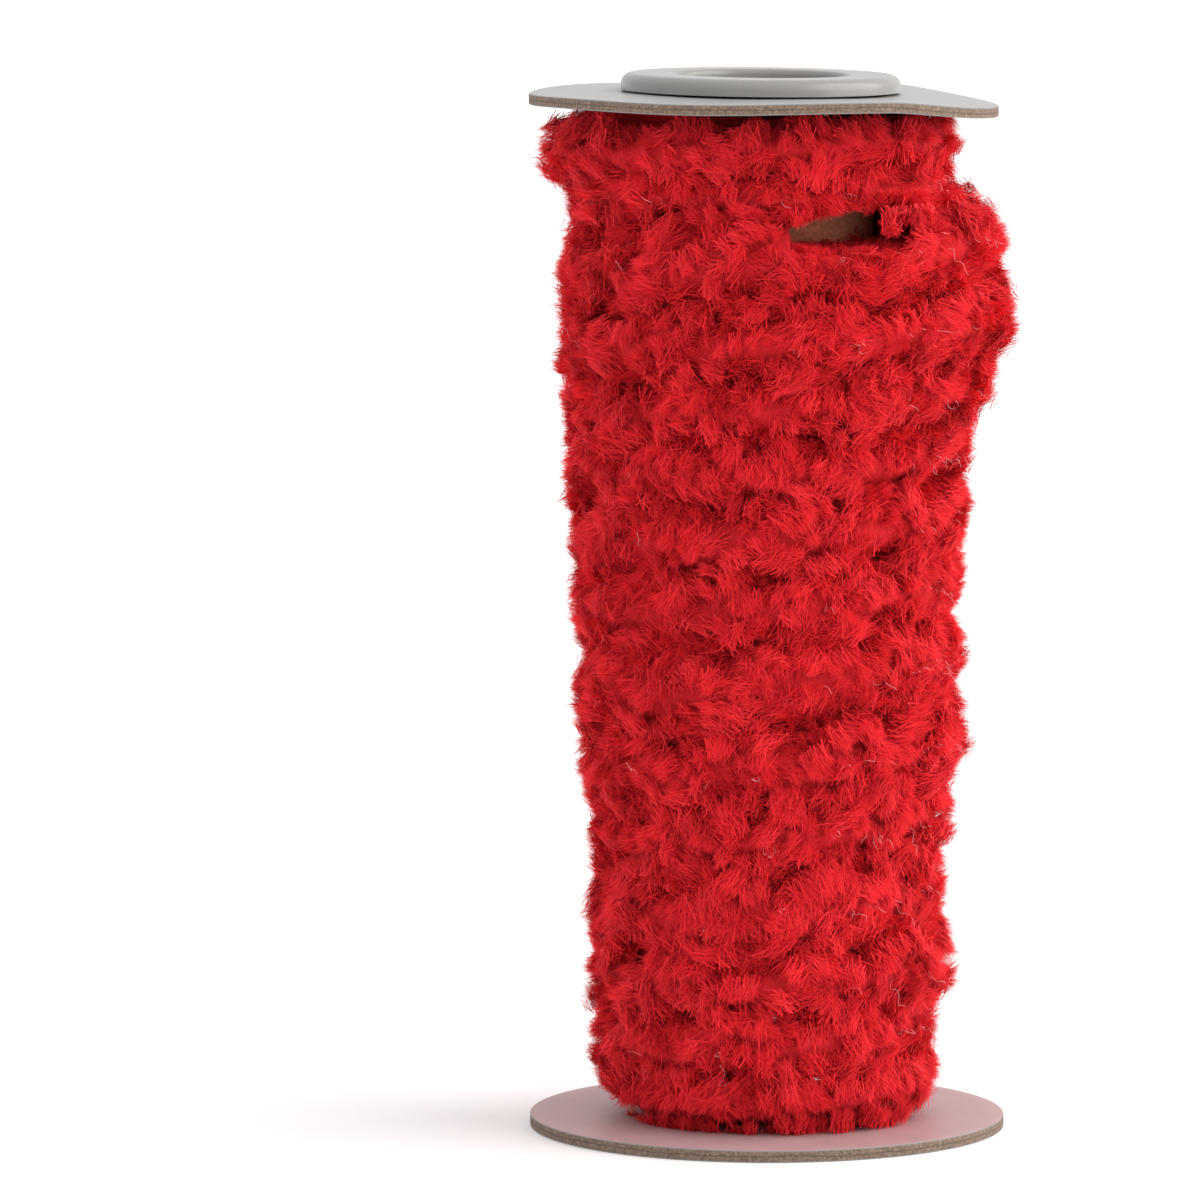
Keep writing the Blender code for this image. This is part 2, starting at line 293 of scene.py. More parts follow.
def turn_at(height):
    """How many turns up this height lies, counted at the front."""
    past = np.minimum(height - WIRES[0], 0.0) + np.maximum(height - WIRES[-1], 0.0)
    return np.interp(height, WIRES, np.arange(len(WIRES))) + past / NOMINAL_PITCH


def pile_reach(turn, angle):
    """How far the pile stands from the axis here, before the grooves."""
    rows = np.arange(len(WIRES))
    left = np.interp(turn - 0.25, rows, LEFTS)
    right = np.interp(turn - 0.75, rows, RIGHTS)
    return (left + right) / 2.0 + (right - left) / 2.0 * np.sin(angle)


def lobe(turn, angle):
    """0 on the wire and 1 midway between two turns of it."""
    return np.abs(np.sin(math.pi * (turn - angle / (2.0 * math.pi)))) ** GROOVE_POWER


def tucks(height):
    """How much the pile is drawn in next to the two boards."""
    low = BOTTOM_TUCK * (1.0 - smooth_step(height - LOWER_THICKNESS, 0.0, TUCK_HEIGHT))
    below_board = UPPER_TOP - UPPER_THICKNESS - height
    return low + TOP_TUCK * (1.0 - smooth_step(below_board, 0.0, TUCK_HEIGHT))


def winding_radius(turn, angle, height):
    """The outside of the winding: lobes of pile between grooves that follow the wire."""
    lump = LUMP * np.sin(6.0 * angle + 2.3 * turn) * np.cos(3.1 * turn - angle)
    reach = pile_reach(turn, angle) - GROOVE_DEPTH * (1.0 - lobe(turn, angle))
    return reach + lump - tucks(height)


def apart(angle, height, spot_angle, spot_height):
    """How far places on the winding lie from one spot on it."""
    turned = np.mod(angle - spot_angle + math.pi, 2.0 * math.pi) - math.pi
    return np.hypot(turned * MIDDLE_REACH, height - spot_height)


def body_radius(turn, angle, height):
    """The outside of the dense inner mass, under the tips of the pile."""
    reach = pile_reach(turn, angle) - BODY_UNDER - BODY_GROOVE * (1.0 - lobe(turn, angle))
    for row in HOLES:
        near = apart(angle, height, math.radians(row.angle), row.height * MM) / (row.size * MM)
        reach = reach - HOLE_DEPTH * np.exp(-(near**4))
    return np.maximum(reach - tucks(height), BODY_LEAST)


def wire_reach(turn):
    """How far the wire lies from the axis: it springs out where it glints."""
    reach = np.full_like(turn, WIRE_REACH)
    for row in GLINTS:
        near = np.exp(-(((turn - row.turn) / (GLINT_SPREAD * row.width)) ** 2))
        reach = np.maximum(reach, WIRE_REACH + (row.reach * MM - WIRE_REACH) * near)
    return reach


class Sock:
    """A node's socket on which Python's operators work, each as a Math node."""

    def __init__(self, finish, socket):
        self.finish = finish
        self.socket = socket

    def maths(self, operation, *values):
        return self.finish.node("ShaderNodeMath", {"operation": operation}, dict(enumerate(values)))

    def __add__(self, other):
        return self.maths("ADD", self, other)

    def __radd__(self, other):
        return self.maths("ADD", other, self)

    def __sub__(self, other):
        return self.maths("SUBTRACT", self, other)

    def __rsub__(self, other):
        return self.maths("SUBTRACT", other, self)

    def __mul__(self, other):
        return self.maths("MULTIPLY", self, other)

    def __truediv__(self, other):
        return self.maths("DIVIDE", self, other)

    def __abs__(self):
        return self.maths("ABSOLUTE", self)

    def step(self, start, end):
        """An even passage from 0 at start to 1 at end."""
        settings = {"interpolation_type": "SMOOTHSTEP"}
        values = {"Value": self, "From Min": start, "From Max": end}
        return self.finish.node("ShaderNodeMapRange", settings, values)


class Finish:
    """A material made of nodes round one Principled shader."""

    def __init__(self, name, **shader_values):
        self.material = bpy.data.materials.new(name)
        self.material.use_nodes = True
        self.tree = self.material.node_tree
        self.shader = self.tree.nodes["Principled BSDF"]
        for key, value in shader_values.items():
            self.shader.inputs[key.replace("_", " ").title()].default_value = value

    def node(self, kind, settings=None, values=None, out=0):
        """Adds a node: its settings first, then its sockets' values or links."""
        made = self.tree.nodes.new(kind)
        for key, value in (settings or {}).items():
            if key == "stops":
                self.set_stops(made.color_ramp, value)
            else:
                setattr(made, key, value)
        for key, value in (values or {}).items():
            self.put(made.inputs[key], value)
        return Sock(self, made.outputs[out])

    def put(self, socket, value):
        if isinstance(value, Sock):
            self.tree.links.new(value.socket, socket)
        else:
            socket.default_value = value

    def set_stops(self, ramp, stops):
        while len(ramp.elements) < len(stops):
            ramp.elements.new(1.0)
        for element, (position, colour) in zip(ramp.elements, stops):
            element.position = position
            element.color = (*colour, 1.0)

    def place(self, scale=(1.0, 1.0, 1.0)):
        """Object coordinates, stretched by a scale for each axis."""
        coords = self.node("ShaderNodeTexCoord", out="Object")
        return self.node("ShaderNodeMapping", None, {"Vector": coords, "Scale": scale})

    def along(self, axis):
        """The object coordinate along this axis."""
        coords = self.node("ShaderNodeTexCoord", out="Object")
        return self.node("ShaderNodeSeparateXYZ", None, {"Vector": coords}, out=axis)

    def noise(self, scale, detail=3.0, roughness=0.55, stretch=(1.0, 1.0, 1.0)):
        """Noise in object space, with this many features to a metre."""
        values = {"Vector": self.place(stretch), "Scale": scale, "Detail": detail, "Roughness": roughness}
        return self.node("ShaderNodeTexNoise", None, values)

    def blend(self, factor, first, second):
        """Mixes two colours, given as sockets or as three numbers."""
        values = {"Factor": factor, 6: as_colour(first), 7: as_colour(second)}
        return self.node("ShaderNodeMix", {"data_type": "RGBA"}, values, out=2)

    def set(self, **sockets):
        for key, value in sockets.items():
            self.put(self.shader.inputs[key.replace("_", " ").title()], value)

    def bump(self, height, distance):
        self.set(normal=self.node("ShaderNodeBump", None, {"Height": height, "Distance": distance}))


def as_colour(value):
    return value if isinstance(value, Sock) else (*value, 1.0)


def pile_finish(settings):
    """Yarn pile: its map's first axis is a fibre's shade, its second runs root to tip."""
    finish = Finish("yarn_pile", roughness=0.7, sheen_weight=0.12, sheen_roughness=0.4)
    finish.shader.inputs["Sheen Tint"].default_value = (1.0, 0.2, 0.24, 1.0)
    finish.shader.inputs["Specular IOR Level"].default_value = 0.1
    spread = finish.node("ShaderNodeUVMap", {"uv_map": PILE_MAP})
    split = {"Vector": spread}
    shade = finish.node("ShaderNodeSeparateXYZ", None, split, out="X")
    along = finish.node("ShaderNodeSeparateXYZ", None, split, out="Y")
    root, tip = Vector(settings.shaded_root_colour), Vector(settings.tip_colour)
    middle = root.lerp(tip, 0.6)
    # Painted light along each fibre: darker towards the root as painted shade deep in the pile, lighter at
    # the tip as a painted highlight.
    low = [(0.2, root * 0.75), (0.6, middle * 0.85), (1.0, tip * 0.86)]
    high = [(0.2, root * 1.1), (0.6, middle * 1.05), (1.0, tip)]
    dark = finish.node("ShaderNodeValToRGB", {"stops": low}, {"Fac": along})
    light = finish.node("ShaderNodeValToRGB", {"stops": high}, {"Fac": along})
    finish.set(base_color=finish.blend(shade, dark, light))
    return finish.material


def pile_body_finish(settings):
    """The dense roots of the pile: matted and rough, with painted shade that darkens them the deeper they
    lie.
    """
    finish = Finish("yarn_roots", roughness=0.9)
    finish.shader.inputs["Specular IOR Level"].default_value = 0.1
    root = Vector(settings.shaded_root_colour)
    mat = finish.noise(900.0, detail=6.0, roughness=0.65)
    streak = finish.noise(500.0, detail=3.0, stretch=(1.0, 1.0, 0.3))
    x, y = finish.along("X"), finish.along("Y")
    square = x * x + y * y
    reach = square.maths("SQRT", square)
    matted = finish.blend(mat, root * 0.5, root * 1.1)
    matted = finish.blend(streak * 0.5, matted, root * 0.65)
    # Painted shade: nearer the axis than 17 to 20 mm the roots turn almost black, as the crevices in the
    # pile would be in shadow.
    finish.set(base_color=finish.blend(reach.step(17.0 * MM, 20.0 * MM), root * 0.1, matted))
    finish.bump(mat + streak * 0.5, 0.6 * MM)
    return finish.material


def paper_finish(name, colour, roughness):
    """White coated paper with a faint mottle and small scuffs."""
    finish = Finish(name)
    mottle = finish.noise(160.0, detail=4.0)
    grain = finish.noise(2600.0, detail=2.0)
    base = Vector(colour)
    shade = finish.blend(mottle.step(0.3, 0.7), base * 0.94, base * 1.03)
    finish.set(base_color=finish.blend(grain.step(0.62, 0.8) * 0.25, shade, base * 0.8))
    finish.set(roughness=roughness + mottle * 0.12)
    finish.bump(grain + mottle * 2.0, 0.02 * MM)
    return finish.material


def edge_finish(settings):
    """The cut edge of the board: grey-brown pulp between a paper above and below."""
    finish = Finish("board_edge", roughness=0.9)
    layer = finish.node("ShaderNodeAttribute", {"attribute_name": "layer"}, out="Fac")
    speck = finish.noise(2400.0, detail=5.0, roughness=0.7)
    fibre = finish.noise(700.0, detail=4.0, stretch=(1.0, 1.0, 3.0))
    wander = finish.noise(120.0, detail=3.0)
    pulp = Vector(settings.pulp_colour)
    body = finish.blend(speck.step(0.35, 0.68), pulp * 0.5, pulp * 1.35)
    body = finish.blend(fibre.step(0.4, 0.7) * 0.5, body, pulp * 0.75)
    split = abs(layer - 0.5 - (wander - 0.5) * 0.5)
    body = finish.blend((1.0 - split.step(0.02, 0.09)) * 0.65, body, pulp * 0.3)
    rim = abs(layer - 0.5).step(0.38, 0.43)
    paper = Vector(settings.paper_colour)
    finish.set(base_color=finish.blend(rim, body, paper * 0.8))
    finish.bump(speck + fibre, 0.12 * MM)
    return finish.material


def kraft_finish(settings):
    """Brown kraft paper with specks, a faint grain and the seam of its spiral winding."""
    finish = Finish("kraft_paper", roughness=0.88)
    x, y, z = finish.along("X") - CORE_SHIFT, finish.along("Y"), finish.along("Z")
    angle = x.maths("ARCTAN2", x, 0.0 - y)
    rise = z / CORE_SEAM_PITCH - angle / (2.0 * math.pi)
    place = rise.maths("FRACT", rise)
    speck = finish.noise(1900.0, detail=5.0, roughness=0.7)
    cloud = finish.noise(240.0, detail=3.0)
    grain = finish.noise(800.0, detail=3.0, stretch=(1.0, 1.0, 0.25))
    # The kraft colour is brown paper made redder and paler by painted red light from the pile, which also
    # lifts the shade in the gap.
    kraft = Vector(settings.kraft_and_red_bounce_colour)
    body = finish.blend(speck.step(0.3, 0.7), kraft * 0.68, kraft * 1.25)
    body = finish.blend(cloud * 0.5, body, kraft * 0.85)
    body = finish.blend(grain.step(0.55, 0.8) * 0.4, body, kraft * 0.6)
    seam = 1.0 - abs(place - 0.5).step(0.004, 0.011)
    finish.set(base_color=finish.blend(seam * 0.7, body, kraft * 0.35))
    finish.bump(speck + grain - seam * 2.0, 0.08 * MM)
    return finish.material


def hub_finish(settings):
    """Moulded off-white plastic with a soft, slightly uneven gloss."""
    finish = Finish("hub_plastic")
    base = Vector(settings.plastic_colour)
    flow = finish.noise(90.0, detail=2.0)
    dust = finish.noise(1500.0, detail=3.0)
    shade = finish.blend(flow, base * 0.97, base * 1.02)
    finish.set(base_color=finish.blend(dust.step(0.64, 0.8) * 0.06, shade, base * 0.9))
    finish.set(roughness=0.2 + flow * 0.12 + dust * 0.03)
    finish.bump(flow, 0.03 * MM)
    return finish.material


def wire_finish():
    """Bright steel wire, a little dulled."""
    finish = Finish("steel_wire", metallic=1.0)
    wear = finish.noise(1200.0, detail=2.0)
    finish.set(base_color=finish.blend(wear, (0.62, 0.62, 0.62), (0.86, 0.85, 0.83)))
    finish.set(roughness=0.22 + wear * 0.2)
    return finish.material


def stray_finish():
    """Single hairs that have worked loose, pale and fine."""
    finish = Finish("loose_hair", roughness=0.5)
    tint = finish.noise(300.0, detail=2.0)
    finish.set(base_color=finish.blend(tint, (0.75, 0.16, 0.17), (0.82, 0.5, 0.5)))
    return finish.material


def floor_finish():
    finish = Finish("floor", roughness=0.9)
    cloud = finish.noise(2.0, detail=1.0)
    finish.set(base_color=finish.blend(cloud, (0.9, 0.9, 0.9), (0.92, 0.92, 0.92)))
    return finish.material


def put_in_scene(name, mesh, finishes, replaced=()):
    """A finished piece on the one body, with its finishes and the nodes it stands for."""
    for finish in finishes:
        mesh.materials.append(finish)
    piece = bpy.data.objects.new(name, mesh)
    bpy.context.scene.collection.objects.link(piece)
    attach(piece, BODY)
    if replaced:
        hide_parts(*replaced)
    return piece


def mesh_of(name, bm, sharp=40.0):
    mesh = bpy.data.meshes.new(name)
    bm.to_mesh(mesh)
    bm.free()
    mesh.shade_smooth()
    mesh.set_sharp_from_angle(angle=math.radians(sharp))
    return mesh


def spin_round(bm, geom, angle, steps, climb=0.0, merge=False):
    """Spins these parts round the axis, and up by the climb at each step."""
    bmesh.ops.spin(
        bm,
        geom=geom,
        cent=(0.0, 0.0, 0.0),
        axis=(0.0, 0.0, 1.0),
        dvec=(0.0, 0.0, climb),
        angle=angle,
        steps=steps,
        use_merge=merge,
    )


def spun(profile, steps):
    """A closed profile, as pairs of reach and height, spun once round the axis."""
    bm = bmesh.new()
    line = [bm.verts.new((reach, 0.0, height)) for reach, height in profile]
    edges = [bm.edges.new((line[place], line[(place + 1) % len(line)])) for place in range(len(line))]
    spin_round(bm, line + edges, 2.0 * math.pi, steps, merge=True)
    bmesh.ops.remove_doubles(bm, verts=bm.verts, dist=MERGE)
    bmesh.ops.recalc_face_normals(bm, faces=bm.faces)
    return bm


def arc(centre_reach, centre_height, radius, start, end, steps):
    """Points on a quarter round of a profile, angles in degrees."""
    turns = np.radians(np.linspace(start, end, steps + 1))
    return [(centre_reach + radius * math.cos(a), centre_height + radius * math.sin(a)) for a in turns]


def board(name, radius, thickness, hole, finishes, node, bend=None, move=(0.0, 0.0, 0.0)):
    """A card end: a turned slab with softened corners, bent where a rule is given."""
    corner = BOARD_CORNER
    top = [(hole + (radius - corner - hole) * ring / BOARD_RINGS, 0.0) for ring in range(BOARD_RINGS)]
    upper = arc(radius - corner, -corner, corner, 90, 0, 3)
    lower = arc(radius - corner, corner - thickness, corner, 0, -90, 3)
    run = np.linspace(upper[-1][1], lower[0][1], EDGE_ROWS)[1:-1]
    edge = [(radius, height) for height in run]
    under = [(reach, -thickness) for reach, _ in reversed(top)]
    bm = spun(top + upper + edge + lower + under, BOARD_STEPS)
    layer = bm.verts.layers.float.new("layer")
    for vert in bm.verts:
        vert[layer] = 1.0 + vert.co.z / thickness
    for face in bm.faces:
        face.material_index = 0 if abs(face.normal.z) > 0.8 else 1
    for vert in bm.verts:
        if bend is not None:
            vert.co.z += float(bend(vert.co.x, vert.co.y))
        vert.co += Vector(move)
    put_in_scene(name, mesh_of(name, bm), finishes, [node])


def helical_strip():
    """One column of points at the front, spun once round while it climbs one pitch."""
    bm = bmesh.new()
    rows = (BODY_LAST_TURN - BODY_FIRST_TURN) * BODY_ROWS
    heights = [(BODY_FIRST_TURN + row / BODY_ROWS) * NOMINAL_PITCH for row in range(rows + 1)]
    column = [bm.verts.new((0.0, -LOWER_RADIUS, height)) for height in heights]
    edges = [bm.edges.new(pair) for pair in zip(column, column[1:])]
    spin_round(bm, column + edges, 2.0 * math.pi, BODY_STEPS, climb=NOMINAL_PITCH / BODY_STEPS)
    bmesh.ops.remove_doubles(bm, verts=bm.verts, dist=MERGE)
    return bm


def cut_level(bm, height, keep_above):
    """Cuts the strip off level and returns the edges of the cut."""
    everything = bm.verts[:] + bm.edges[:] + bm.faces[:]
    cut = bmesh.ops.bisect_plane(
        bm,
        geom=everything,
        dist=MERGE,
        plane_co=(0.0, 0.0, height),
        plane_no=(0.0, 0.0, 1.0),
        clear_inner=keep_above,
        clear_outer=not keep_above,
    )
    return [part for part in cut["geom_cut"] if isinstance(part, bmesh.types.BMEdge)]


def drawn_in(bm, edges, reach):
    """Extrudes the rim of the top towards the axis and returns the new rim."""
    made = bmesh.ops.extrude_edge_only(bm, edges=edges)["geom"]
    for vert in [part for part in made if isinstance(part, bmesh.types.BMVert)]:
        share = reach / math.hypot(vert.co.x, vert.co.y)
        vert.co.x *= share
        vert.co.y *= share
    rim = [part for part in made if isinstance(part, bmesh.types.BMEdge)]
    return [edge for edge in rim if edge.is_boundary]


def wrapped_body():
    """The dark inner mass before the core and the gap are cut out of it."""
    bm = helical_strip()
    turn = np.array([vert.co.z for vert in bm.verts]) / NOMINAL_PITCH
    angle = np.array([math.atan2(vert.co.x, -vert.co.y) for vert in bm.verts])
    height = turn_height(turn)
    reach = body_radius(turn, angle, height)
    places = np.column_stack([reach * np.sin(angle), -reach * np.cos(angle), height])
    for vert, place in zip(bm.verts, places):
        vert.co = place
    bmesh.ops.edgeloop_fill(bm, edges=cut_level(bm, LOWER_THICKNESS + 2.0 * SEAT_GAP, keep_above=True))
    top = UPPER_TOP - UPPER_THICKNESS - 3.0 * SEAT_GAP
    rim = drawn_in(bm, cut_level(bm, top, keep_above=False), BODY_TOP_RING)
    bmesh.ops.edgeloop_fill(bm, edges=drawn_in(bm, rim, BODY_MIDDLE_RING))
    for vert in bm.verts:
        near_top = float(smooth_step(vert.co.z, top - 2.0 * NOMINAL_PITCH, top))
        vert.co.z += near_top * float(board_sag(vert.co.x - UPPER_SHIFT, vert.co.y))
    bmesh.ops.recalc_face_normals(bm, faces=bm.faces)
    return bm


def bore_cutter():
    bm = bmesh.new()
    bmesh.ops.create_cone(
        bm,
        cap_ends=True,
        segments=CORE_STEPS,
        radius1=CORE_RADIUS + SEAT_GAP,
        radius2=CORE_RADIUS + SEAT_GAP,
        depth=2.0 * UPPER_TOP,
        matrix=Matrix.Translation((CORE_SHIFT, 0.0, UPPER_TOP / 2.0)),
    )
    return bm


def gap_cutter():
    """A wedge round the front right, a little higher than the gap, cut off at its right."""
    start, end = GAP_ANGLES[0], GAP_ANGLES[-1]
    bm = bmesh.new()
    reaches = (GAP_INNER_RADIUS, GAP_OUTER_RADIUS, GAP_OUTER_RADIUS, GAP_INNER_RADIUS)
    sides = (-1.0, -1.0, 1.0, 1.0)
    ring = [bm.verts.new((r * math.sin(start), -r * math.cos(start), s)) for r, s in zip(reaches, sides)]
    edges = [bm.edges.new((ring[place], ring[(place + 1) % 4])) for place in range(4)]
    spin_round(bm, ring + edges, end - start, GAP_STEPS)
    bmesh.ops.holes_fill(bm, edges=bm.edges, sides=4)
    for vert in bm.verts:
        angle = math.atan2(vert.co.x, -vert.co.y)
        high = vert.co.z > 0.0
        height = np.interp(angle, GAP_ANGLES, GAP_HIGHS if high else GAP_LOWS)
        vert.co.z = height + (GAP_EASE + GAP_RAISED if high else -GAP_EASE)
    cut = bmesh.ops.bisect_plane(
        bm,
        geom=bm.verts[:] + bm.edges[:] + bm.faces[:],
        dist=MERGE,
        plane_co=(GAP_RIGHT, 0.0, 0.0),
        plane_no=(1.0, 0.0, 0.0),
        clear_outer=True,
    )
    rim = [part for part in cut["geom_cut"] if isinstance(part, bmesh.types.BMEdge)]
    bmesh.ops.edgeloop_fill(bm, edges=rim)
    bmesh.ops.recalc_face_normals(bm, faces=bm.faces)
    return bm


def cut_by(mesh, cutters):
    """The mesh with each cutter taken away from it."""
    whole = bpy.data.objects.new("whole", mesh)
    bpy.context.scene.collection.objects.link(whole)
    tools = []
    for place, cutter in enumerate(cutters):
        tool = bpy.data.objects.new(f"cutter_{place}", mesh_of(f"cutter_{place}", cutter))
        bpy.context.scene.collection.objects.link(tool)
        cut = whole.modifiers.new(tool.name, "BOOLEAN")
        cut.operation = "DIFFERENCE"
        cut.solver = "EXACT"
        cut.object = tool
        tools.append(tool)
    graph = bpy.context.evaluated_depsgraph_get()
    made = bpy.data.meshes.new_from_object(whole.evaluated_get(graph))
    for used in [whole, *tools]:
        bpy.data.objects.remove(used)
    return made


def waves(rng, count, lowest, highest):
    """A smooth random function of two places: a sum of sines, about 1 high."""
    across = rng.integers(lowest, highest, count)
    upward = rng.uniform(lowest, highest, count) * rng.choice([-1.0, 1.0], count)
    phase = rng.uniform(0.0, 2.0 * math.pi, count)

    def value(first, second):
        total = np.zeros_like(first)
        for a, b, c in zip(across, upward, phase):
            total += np.sin(a * first + b * second + c)
        return total * math.sqrt(2.0 / count)

    return value


Tufts = namedtuple("Tufts", "place way outward size shade low high")


def unit(vectors):
    return vectors / np.maximum(np.linalg.norm(vectors, axis=-1, keepdims=True), 1e-9)


def directions(angle):
    """The outward, the sideways and the upward direction at each angle."""
    none = np.zeros_like(angle)
    outward = np.stack([np.sin(angle), -np.cos(angle), none], axis=-1)
    sideways = np.stack([np.cos(angle), np.sin(angle), none], axis=-1)
    return outward, sideways, np.stack([none, none, none + 1.0], axis=-1)


def leaning(angle, out, side, up):
    """Unit directions made of shares of outward, sideways and upward."""
    parts = zip(directions(angle), (out, side, up))
    return unit(sum(way * np.broadcast_to(share, angle.shape)[:, None] for way, share in parts))


def on_winding(angle, height, reach):
    """Points at this reach, lowered near the top as the upper board sags."""
    x, y = reach * np.sin(angle), -reach * np.cos(angle)
    near_top = smooth_step(height, UPPER_TOP - 2.0 * NOMINAL_PITCH, UPPER_TOP - UPPER_THICKNESS)
    return np.stack([x, y, height + near_top * board_sag(x - UPPER_SHIFT, y)], axis=-1)


def spread_evenly(rng, spacing):
    """Angles and heights of a grid over the winding that is shaken until no row shows."""
    columns = int(2.0 * math.pi * MIDDLE_REACH / spacing)
    rows = int((PILE_HIGH - PILE_LOW) / spacing)
    column, row = np.meshgrid(np.arange(columns), np.arange(rows))
    column = column + rng.uniform(0.0, 1.0, (rows, 1)) + rng.uniform(-0.5, 0.5, column.shape)
    row = row + rng.uniform(0.0, 1.0, row.shape)
    angle = column.ravel() * 2.0 * math.pi / columns - math.pi
    return angle, np.minimum(PILE_LOW + spacing * row.ravel(), PILE_HIGH)


def gap_edges(angle, reach):
    """The heights between which the pile parts over the core: it closes beside the core."""
    beside_core = smooth_step(reach * np.sin(angle), GAP_CLOSES_FROM, GAP_CLOSES_TO)
    low = np.interp(angle, GAP_ANGLES, GAP_LOWS) + LEDGE_RAISED
    high = np.interp(angle, GAP_ANGLES, GAP_HIGHS) + GAP_RAISED - GAP_CLOSED * beside_core
    return low, np.maximum(high, low)


def winding_tufts(rng, settings):
    """Tufts over the outside of the winding: they lean away from the wire they stand on."""
    angle, height = spread_evenly(rng, settings.tuft_spacing)
    count = angle.size
    over = height / MIDDLE_REACH
    turn = turn_at(height) + WIRE_WANDER * waves(rng, 8, 3, 13)(angle, over)
    wire = np.round(turn - angle / (2.0 * math.pi) + rng.normal(0.0, 0.05, count))
    climb = (turn - wire - angle / (2.0 * math.pi)) * NOMINAL_PITCH
    filled = GROOVE_FILL + GROOVE_FILL_VARIES * waves(rng, 10, 5, 22)(angle, over)
    filled = np.clip(filled, 0.0, GROOVE_FILL_MOST)
    level = winding_radius(turn, angle, height)
    higher = winding_radius(turn + FINE_STEP / NOMINAL_PITCH, angle, height + FINE_STEP)
    slope = np.clip((1.0 - filled) * (higher - level) / FINE_STEP, -STEEPEST_SLOPE, STEEPEST_SLOPE)
    reach = level + filled * GROOVE_DEPTH * (1.0 - lobe(turn, angle))
    rise = TUFT_LEAN * climb / (reach - WIRE_REACH)
    rise += RISE_VARIES * waves(rng, 10, 6, 24)(angle, over) + rng.normal(0.0, 0.1, count)
    sway = SWAY_VARIES * waves(rng, 10, 5, 20)(angle, over) + rng.normal(0.0, 0.12, count)
    spot = np.mod(angle, 2.0 * math.pi)
    low, high = gap_edges(spot, reach)
    beside = (spot > GAP_ANGLES[0]) & (spot < GAP_ANGLES[-1]) & (reach * np.sin(angle) < GAP_RIGHT)
    under = beside & (height <= low) & (height > low - GAP_FRINGE)
    above = beside & (height >= high) & (height < high + GAP_FRINGE)
    kept = ~(beside & (height > low) & (height < high))
    for row in GLINTS:
        clear = apart(angle, height, row.turn * 2.0 * math.pi, float(turn_height(row.turn)))
        kept &= clear > GLINT_CLEARING
    for row in HOLES:
        kept &= apart(angle, height, math.radians(row.angle), row.height * MM) > row.size * MM
    rise = np.where(under, np.maximum(rise, 0.5), np.where(above, np.minimum(rise, -0.4), rise))
    notch = rng.uniform(-0.8, 0.5, count) * MM
    tufts = Tufts(
        place=on_winding(angle, height, reach - TUFT_SEAT + rng.normal(0.0, 0.3, count) * MM),
        way=leaning(angle, 1.0, sway, rise),
        outward=leaning(angle, 1.0, 0.0, -slope),
        size=settings.tuft_radius * rng.uniform(0.75, 1.3, count),
        shade=0.5 + SHADE_VARIES * waves(rng, 12, 4, 26)(angle, over) + rng.normal(0.0, 0.05, count),
        low=np.where(above, high - notch, LOWER_THICKNESS + 0.1 * MM),
        high=np.where(under, low + notch, UPPER_TOP),
    )
    return Tufts(*(values[kept] for values in tufts))


def gap_tufts(rng, settings):
    """Short tufts on the ledge under the gap, on the pile at its right and at its far end."""
    kind = np.repeat((0, 1, 2), (LEDGE_TUFTS, WALL_TUFTS, END_TUFTS))
    count = kind.size
    far_end = np.full(count, GAP_ANGLES[-1])
    angles = rng.uniform(GAP_ANGLES[0], GAP_ANGLES[-1], count), rng.uniform(0.75, 1.7, count), far_end
    angle = np.choose(kind, angles)
    ledge = np.sqrt(rng.uniform(GAP_TUFT_LEAST**2, LEDGE_MOST**2, count))
    end = rng.uniform(GAP_TUFT_LEAST, END_MOST, count)
    reach = np.choose(kind, (ledge, GAP_RIGHT / np.maximum(np.sin(angle), 0.5), end))
    low, high = gap_edges(angle, reach)
    between = low + (high - low) * rng.uniform(0.0, 1.0, count)
    height = np.where(kind == 0, low, between)
    kept = (reach * np.sin(angle) < GAP_RIGHT + 0.1 * MM) & (reach * np.cos(angle) < GAP_FRONT)
    leftward = np.broadcast_to(WALL_FACING, (count, 3))
    facings = np.stack([leaning(angle, 0.45, 0.0, 1.0), leftward, leaning(angle, 0.0, -1.0, 0.2)])
    facing = facings[kind, np.arange(count)]
    x, y = reach * np.sin(angle), -reach * np.cos(angle)
    tufts = Tufts(
        place=np.stack([x, y, height], axis=-1),
        way=unit(facing + rng.normal(0.0, 0.35, (count, 3))),
        outward=unit(facing),
        size=settings.tuft_radius * rng.uniform(0.7, 1.1, count),
        shade=np.clip(rng.normal(0.45, 0.1, count), 0.0, 1.0),
        low=np.full(count, LOWER_THICKNESS),
        high=np.where(kind == 0, low + rng.uniform(-0.3, 0.6, count) * MM, high + 1.0 * MM),
    )
    return Tufts(*(values[kept] for values in tufts))


def all_tufts(rng, settings):
    """Every tuft of the pile, from the bottom up."""
    pairs = zip(winding_tufts(rng, settings), gap_tufts(rng, settings))
    tufts = Tufts(*(np.concatenate(pair) for pair in pairs))
    order = np.argsort(tufts.place[:, 2])
    return Tufts(*(values[order] for values in tufts))


